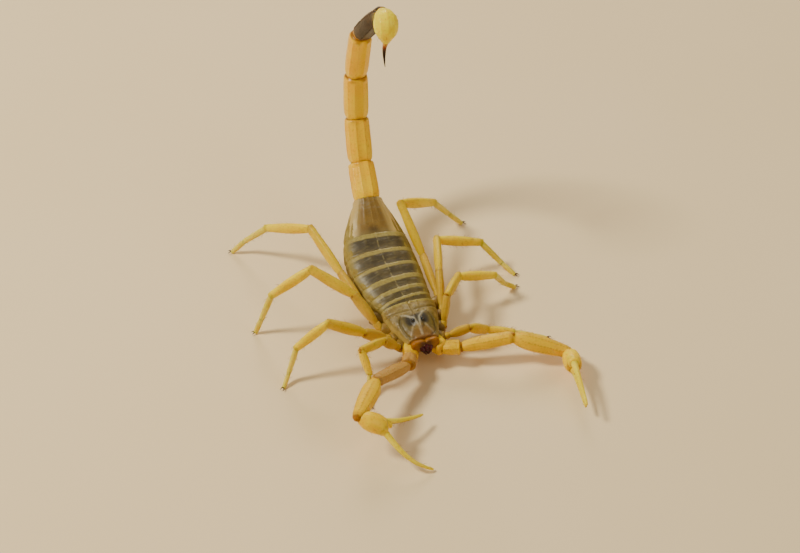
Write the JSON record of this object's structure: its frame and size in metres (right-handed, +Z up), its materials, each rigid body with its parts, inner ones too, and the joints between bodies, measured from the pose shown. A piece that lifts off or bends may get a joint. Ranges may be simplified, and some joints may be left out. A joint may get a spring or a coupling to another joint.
{
  "type": "scorpion",
  "caption": "Life-size yellow desert scorpion standing with its pincers forward and its tail raised over its back, the sting pointing down.",
  "frame": {"origin": "on the floor, straight under the middle of the animal's outer box", "axes": "+X to the animal's own left, -Y the way the head looks, +Z up"},
  "size_m": [0.0482, 0.0654, 0.0496],
  "materials": {
    "eye_left": "glossy black",
    "eye_right": "glossy black",
    "carapace": "satin chitin, olive grey",
    "chelicera_left": "glossy chitin, orange brown",
    "chelicera_right": "glossy chitin, orange brown",
    "leg_left_1_femur": "satin chitin, orange tan to pale yellow",
    "leg_left_1_patella": "satin chitin, orange tan to pale yellow",
    "leg_left_1_foot": "satin chitin, orange tan to pale yellow",
    "leg_left_2_femur": "satin chitin, orange tan to pale yellow",
    "leg_left_2_patella": "satin chitin, orange tan to pale yellow",
    "leg_left_2_foot": "satin chitin, orange tan to pale yellow",
    "leg_left_3_femur": "satin chitin, orange tan to pale yellow",
    "leg_left_3_patella": "satin chitin, orange tan to pale yellow",
    "leg_left_3_foot": "satin chitin, orange tan to pale yellow",
    "leg_left_4_femur": "satin chitin, orange tan to pale yellow",
    "leg_left_4_patella": "satin chitin, orange tan to pale yellow",
    "leg_left_4_foot": "satin chitin, orange tan to pale yellow",
    "leg_right_1_femur": "satin chitin, orange tan to pale yellow",
    "leg_right_1_patella": "satin chitin, orange tan to pale yellow",
    "leg_right_1_foot": "satin chitin, orange tan to pale yellow",
    "leg_right_2_femur": "satin chitin, orange tan to pale yellow",
    "leg_right_2_patella": "satin chitin, orange tan to pale yellow",
    "leg_right_2_foot": "satin chitin, orange tan to pale yellow",
    "leg_right_3_femur": "satin chitin, orange tan to pale yellow",
    "leg_right_3_patella": "satin chitin, orange tan to pale yellow",
    "leg_right_3_foot": "satin chitin, orange tan to pale yellow",
    "leg_right_4_femur": "satin chitin, orange tan to pale yellow",
    "leg_right_4_patella": "satin chitin, orange tan to pale yellow",
    "leg_right_4_foot": "satin chitin, orange tan to pale yellow",
    "pedipalp_left_trochanter": "glossy chitin, amber",
    "pedipalp_left_femur": "glossy chitin, amber",
    "pedipalp_left_patella": "glossy chitin, amber",
    "pedipalp_left_hand": "glossy chitin, amber",
    "pedipalp_left_finger": "glossy chitin, amber",
    "pedipalp_right_trochanter": "glossy chitin, amber",
    "pedipalp_right_femur": "glossy chitin, amber",
    "pedipalp_right_patella": "glossy chitin, amber",
    "pedipalp_right_hand": "glossy chitin, amber",
    "pedipalp_right_finger": "glossy chitin, amber",
    "prosoma_underside": "satin chitin, tan",
    "mesosoma_1": "satin chitin, grey brown",
    "mesosoma_2": "satin chitin, grey brown",
    "mesosoma_3": "satin chitin, grey brown",
    "mesosoma_4": "satin chitin, grey brown",
    "mesosoma_5": "satin chitin, grey brown",
    "mesosoma_6": "satin chitin, grey brown",
    "mesosoma_7": "satin chitin, grey brown",
    "pecten_left": "satin chitin, pale",
    "pecten_right": "satin chitin, pale",
    "metasoma_1": "glossy chitin, amber",
    "metasoma_2": "glossy chitin, amber",
    "metasoma_3": "glossy chitin, amber",
    "metasoma_4": "glossy chitin, amber",
    "metasoma_5": "glossy chitin, amber",
    "telson_bulb": "glossy chitin, lemon yellow",
    "telson_sting": "glossy dark brown chitin"
  },
  "bodies": {
    "root": {"eye_left": "eye_left", "eye_right": "eye_right", "carapace": "carapace", "chelicera_left": "chelicera_left", "chelicera_right": "chelicera_right", "leg_left_1_femur": "leg_left_1_femur", "leg_left_1_patella": "leg_left_1_patella", "leg_left_1_foot": "leg_left_1_foot", "leg_left_2_femur": "leg_left_2_femur", "leg_left_2_patella": "leg_left_2_patella", "leg_left_2_foot": "leg_left_2_foot", "leg_left_3_femur": "leg_left_3_femur", "leg_left_3_patella": "leg_left_3_patella", "leg_left_3_foot": "leg_left_3_foot", "leg_left_4_femur": "leg_left_4_femur", "leg_left_4_patella": "leg_left_4_patella", "leg_left_4_foot": "leg_left_4_foot", "leg_right_1_femur": "leg_right_1_femur", "leg_right_1_patella": "leg_right_1_patella", "leg_right_1_foot": "leg_right_1_foot", "leg_right_2_femur": "leg_right_2_femur", "leg_right_2_patella": "leg_right_2_patella", "leg_right_2_foot": "leg_right_2_foot", "leg_right_3_femur": "leg_right_3_femur", "leg_right_3_patella": "leg_right_3_patella", "leg_right_3_foot": "leg_right_3_foot", "leg_right_4_femur": "leg_right_4_femur", "leg_right_4_patella": "leg_right_4_patella", "leg_right_4_foot": "leg_right_4_foot", "pedipalp_left_trochanter": "pedipalp_left_trochanter", "pedipalp_left_femur": "pedipalp_left_femur", "pedipalp_left_patella": "pedipalp_left_patella", "pedipalp_left_hand": "pedipalp_left_hand", "pedipalp_left_finger": "pedipalp_left_finger", "pedipalp_right_trochanter": "pedipalp_right_trochanter", "pedipalp_right_femur": "pedipalp_right_femur", "pedipalp_right_patella": "pedipalp_right_patella", "pedipalp_right_hand": "pedipalp_right_hand", "pedipalp_right_finger": "pedipalp_right_finger", "prosoma_underside": "prosoma_underside", "mesosoma_1": "mesosoma_1", "mesosoma_2": "mesosoma_2", "mesosoma_3": "mesosoma_3", "mesosoma_4": "mesosoma_4", "mesosoma_5": "mesosoma_5", "mesosoma_6": "mesosoma_6", "mesosoma_7": "mesosoma_7", "pecten_left": "pecten_left", "pecten_right": "pecten_right", "metasoma_1": "metasoma_1", "metasoma_2": "metasoma_2", "metasoma_3": "metasoma_3", "metasoma_4": "metasoma_4", "metasoma_5": "metasoma_5", "telson_bulb": "telson_bulb", "telson_sting": "telson_sting"}
  },
  "joints": []
}
